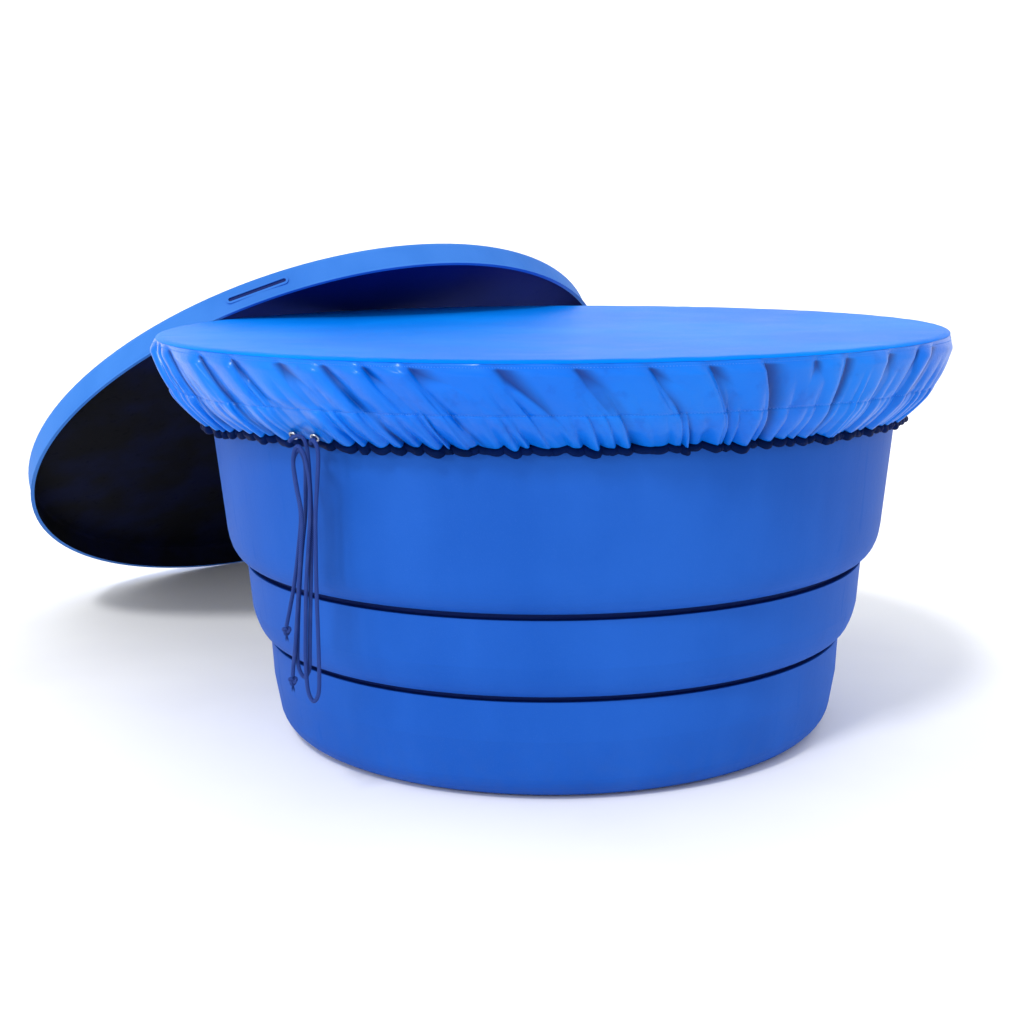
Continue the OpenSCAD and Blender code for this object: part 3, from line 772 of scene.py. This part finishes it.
def makeEyelet(name, node):
    # a rolled ring: its section is a half circle on the face and a straight barrel through the cloth
    low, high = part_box(node)
    centre = np.array((low + high) / 2)
    a = math.atan2(centre[1], centre[0])
    slope = (skirtRadius(eyeletZ + 0.001) - skirtRadius(eyeletZ - 0.001)) / 0.002
    tilt = math.atan(float(slope))
    out = np.array([math.cos(a) * math.cos(tilt), math.sin(a) * math.cos(tilt), -math.sin(tilt)])
    side = np.array([-math.sin(a), math.cos(a), 0.0])
    up = np.cross(out, side)
    angle = np.linspace(0, np.pi, 13)
    middle, half = (eyelet["inner"] + eyelet["outer"]) / 2, (eyelet["outer"] - eyelet["inner"]) / 2
    barrel = [eyelet["inner"], eyelet["inner"] + 0.0006, eyelet["outer"] - 0.0008]
    r = np.concatenate([[eyelet["outer"]], middle + half * np.cos(angle), barrel])
    h = np.concatenate([[-0.0006], eyelet["height"] * np.sin(angle), [-0.004, -0.0042, -0.0008]])
    k = np.arange(eyelet["sides"])
    nextK = (k + 1) % eyelet["sides"]
    turn = 2 * np.pi * k / eyelet["sides"]
    points = (centre + out * eyelet["stand"]
              + r[:, None, None] * (np.cos(turn)[None, :, None] * side + np.sin(turn)[None, :, None] * up)
              + h[:, None, None] * out).reshape(-1, 3)
    quads = gridQuads(len(r), eyelet["sides"])
    last = (len(r) - 1) * eyelet["sides"]
    close = np.stack([last + k, last + nextK, nextK, k], -1)
    return makeMesh(name, points, np.vstack([quads, close])[:, ::-1])


eyelets = []
for name, node in (("leftEyeletRing", "left_eyelet"), ("rightEyeletRing", "right_eyelet")):
    ring = makeEyelet(name, node)
    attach(ring, "cover")
    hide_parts(node, node + "_washer")
    eyelets.append(ring)
print("eyelets made")


# materials of the soft pieces and the fittings

cloth = {
    "colour": paint((0, 100, 212)),
    "deep": paint((0, 72, 180)),
    "pale": paint((4, 114, 222)),
    # painted shade for the fold valleys
    "valley": paint((0, 36, 120)),
    "sheen": (0.30, 0.75, 1.0, 1.0),
    "weave": 420,           # threads per metre
}


def makeCloth(name, tints, roughness, crinkles, coat, specular):
    # a coated woven cloth: two crossed sets of threads under a smooth coat, with small crinkles,
    # and painted shade in the valleys, where the mesh's crest value is low
    f = Finish(name)
    u, v, _ = f.split(f.uv)
    warp = (u * (tints["weave"] * 2 * math.pi)).sin()
    weft = (v * (tints["weave"] * 2 * math.pi)).sin()
    weave = (warp * weft).abs()
    cloudy = f.noise(3.0, 4)
    crinkle = f.noise(34, 5, roughness=0.58)
    colour = f.mix(cloudy.ramp(0.35, 0.7), tints["colour"], tints["pale"])
    colour = f.mix(crinkle.ramp(0.52, 0.74) * (0.5 * crinkles), colour, tints["deep"])
    colour = f.mix(weave * 0.06, colour, tints["deep"])
    crest = f.node("ShaderNodeAttribute", {"attribute_name": "crest"}, {}, "Fac")
    # painted shade in the fold valleys
    colour = f.mix((1 - crest.ramp(0.0, 0.60)) * 0.92, colour, tints["valley"])
    rough = roughness + (f.noise(12, 3) - 0.5) * 0.12 + weave * 0.03
    fine = f.bump(weave, 0.00010, 0.5)
    small = f.bump(crinkle, 0.0030 * crinkles, 0.6, under=fine) if crinkles else fine
    return f.surface(base_color=colour, roughness=rough.clamp(), normal=small, specular_IOR_level=specular,
                     specular_tint=tints["sheen"], coat_weight=coat, coat_roughness=0.14)


def makeBraid():
    # braided cord: two sets of strands that wind in opposite ways round the cord
    f = Finish("braidedCord")
    u, v, _ = f.split(f.uv)
    right = ((u * 6 + v * 260) * (2 * math.pi)).sin()
    left = ((u * 6 - v * 260) * (2 * math.pi)).sin()
    strands = right.most(left) * 0.5 + 0.5
    fibres = f.noise(2600, 2)
    colour = f.mix(strands.ramp(0.3, 1.0), paint((12, 30, 86)), paint((44, 72, 148)))
    colour = f.mix(f.noise(40, 3).ramp(0.5, 0.75) * 0.5, colour, paint((52, 74, 138)))
    bumped = f.bump(strands + fibres * 0.3, 0.0006, 0.9)
    return f.surface(base_color=colour, roughness=0.78, normal=bumped, specular_IOR_level=0.15)


def makeThread():
    f = Finish("thread")
    x, y, z = f.split(f.place)
    twist = ((x + y + z * 0.4) * 9000).sin()
    colour = f.mix(twist * 0.25 + 0.5, paint((70, 150, 240)), paint((30, 104, 220)))
    return f.surface(base_color=colour, roughness=0.6, normal=f.bump(twist, 0.0001, 0.5))


def makeMetal(name, colour, dark, roughness):
    # spun metal: fine turning marks, small pits and tarnish in patches
    f = Finish(name)
    tarnish = f.noise(55, 5).ramp(0.45, 0.72)
    marks = f.noise(420, 3, stretch=(1.0, 1.0, 6.0))
    pits = f.noise(1500, 2).ramp(0.62, 0.75)
    tint = f.mix(tarnish * 0.6, colour, dark)
    rough = roughness + tarnish * 0.22 + (marks - 0.5) * 0.12
    return f.surface(base_color=tint, metallic=1.0, roughness=rough.clamp(),
                     normal=f.bump(marks + pits * 0.5, 0.0002, 0.5))


def makeHardPlastic(name, colour, pale, roughness):
    f = Finish(name)
    cloudy = f.noise(30, 4)
    scuffs = f.noise(260, 3, stretch=(1.0, 0.2, 1.0)).ramp(0.6, 0.72)
    tint = f.mix(cloudy.ramp(0.35, 0.7), colour, pale)
    rough = roughness + scuffs * 0.18
    return f.surface(base_color=tint, roughness=rough.clamp(),
                     normal=f.bump(f.noise(700, 3), 0.00025, 0.5), specular_IOR_level=0.5)


panelTints = dict(cloth, colour=paint((0, 116, 226)), pale=paint((8, 128, 236)))
# near-black tints for the drawcord channel: a painted shadow band under the hem
channelShadowTints = dict(cloth, colour=paint((1, 14, 58)), deep=paint((1, 8, 38)), pale=paint((2, 20, 74)),
                    valley=paint((1, 8, 38)))
clothFinish = makeCloth("coatedCloth", cloth, 0.32, 0.7, 0.22, 0.30)
panelFinish = makeCloth("tightCloth", panelTints, 0.34, 0.0, 0.0, 0.012)
channelShadowFinish = makeCloth("drawcordChannelShadowCloth", channelShadowTints, 0.6, 0.8, 0.0, 0.08)
dress(clothFinish, skirt, seamWelt)
dress(panelFinish, topPanel)
dress(channelShadowFinish, hemChannelShadowBand)
dress(makeThread(), hemStitches, rimStitches)
dress(makeBraid(), rightCord, leftCord, rightKnot, leftKnot, rightFray, leftFray)
steelFinish = makeMetal("eyeletSteel", paint((196, 198, 202)), paint((92, 84, 78)), 0.24)
brassFinish = makeMetal("valveBrass", paint((205, 168, 92)), paint((112, 82, 40)), 0.30)
rubberFinish = makeHardPlastic("blackRubber", paint((22, 22, 24)), paint((44, 44, 46)), 0.68)
greyFinish = makeHardPlastic("greyPipePlastic", paint((112, 118, 126)), paint((136, 142, 148)), 0.42)
floatFinish = makeHardPlastic("floatPlastic", paint((232, 230, 220)), paint((246, 245, 240)), 0.35)
bySlot = {"steel": steelFinish, "brass": brassFinish, "rubber": rubberFinish, "grey_plastic": greyFinish,
          "float_plastic": floatFinish}
for part in frame["record"]["subparts"]:
    if part["material_slot"] in bySlot:
        dress(bySlot[part["material_slot"]], nodes[part["node"]])
dress(steelFinish, *eyelets)
print("materials made")


# floor and light

studio = {
    "floor": paint((250, 251, 252)),
    "sky": (1.0, 1.0, 1.0),
    "skyStrength": 0.97,
    "keyStrength": 1.35,
    "keyFrom": (-0.42, -0.95, 1.30),
    "softboxAt": (-2.9, -3.2, 1.9),
    "softboxAim": (0, -0.4, 0.7),
    "softboxPower": 28,
    "softboxSize": 0.7,
    "flatLength": 9.0,      # the floor's flat part, then its bend, then the wall
    "bendRadius": 3.0,
    "wallHeight": 9.0,
    "nearEdge": -5.5,
    "halfWidth": 9,
}


def makeStudio():
    # the floor curves up behind the object, so there is no horizon
    rows, columns = 40, 20
    flatLength, bendRadius = studio["flatLength"], studio["bendRadius"]
    total = flatLength + bendRadius * np.pi / 2 + studio["wallHeight"]
    s = np.linspace(0, 1, rows) * total
    bend = np.clip((s - flatLength) / bendRadius, 0, np.pi / 2)
    y = np.minimum(s, flatLength) + bendRadius * np.sin(bend) + studio["nearEdge"]
    z = bendRadius * (1 - np.cos(bend)) + np.maximum(s - flatLength - bendRadius * np.pi / 2, 0)
    x = np.linspace(-studio["halfWidth"], studio["halfWidth"], columns)
    yy, xx = np.meshgrid(y, x, indexing="ij")
    zz = np.repeat(z[:, None], columns, 1)
    points = np.stack([xx, yy, zz], -1).reshape(-1, 3)
    floor = makeMesh("floor", points, gridQuads(rows, columns, wrapColumns=False))
    f = Finish("paleFloor")
    tint = f.mix(f.noise(1.5, 3).ramp(0.3, 0.8), studio["floor"], paint((243, 244, 247)))
    dress(f.surface(base_color=tint, roughness=0.85, specular_IOR_level=0.2), floor)


def makeLight(kind, name, place, aim, energy, size):
    data = bpy.data.lights.new(name, kind)
    data.energy = energy
    if kind == "AREA":
        data.size = size
    else:
        data.angle = size
    lamp = bpy.data.objects.new(name, data)
    lamp.location = place
    lamp.rotation_euler = (Vector(aim) - Vector(place)).to_track_quat("-Z", "Y").to_euler()
    bpy.context.scene.collection.objects.link(lamp)


def makeWorld():
    world = bpy.data.worlds.new("studioSky")
    world.use_nodes = True
    sky = world.node_tree.nodes["Background"]
    sky.inputs["Color"].default_value = (*studio["sky"], 1)
    sky.inputs["Strength"].default_value = studio["skyStrength"]
    bpy.context.scene.world = world


makeStudio()
makeWorld()
makeLight("SUN", "keyLight", studio["keyFrom"], (0, 0, 0), studio["keyStrength"], math.radians(9))
makeLight("AREA", "leftSoftbox", studio["softboxAt"], studio["softboxAim"], studio["softboxPower"],
          studio["softboxSize"])
bpy.context.scene.view_settings.view_transform = "Standard"
print("studio made")
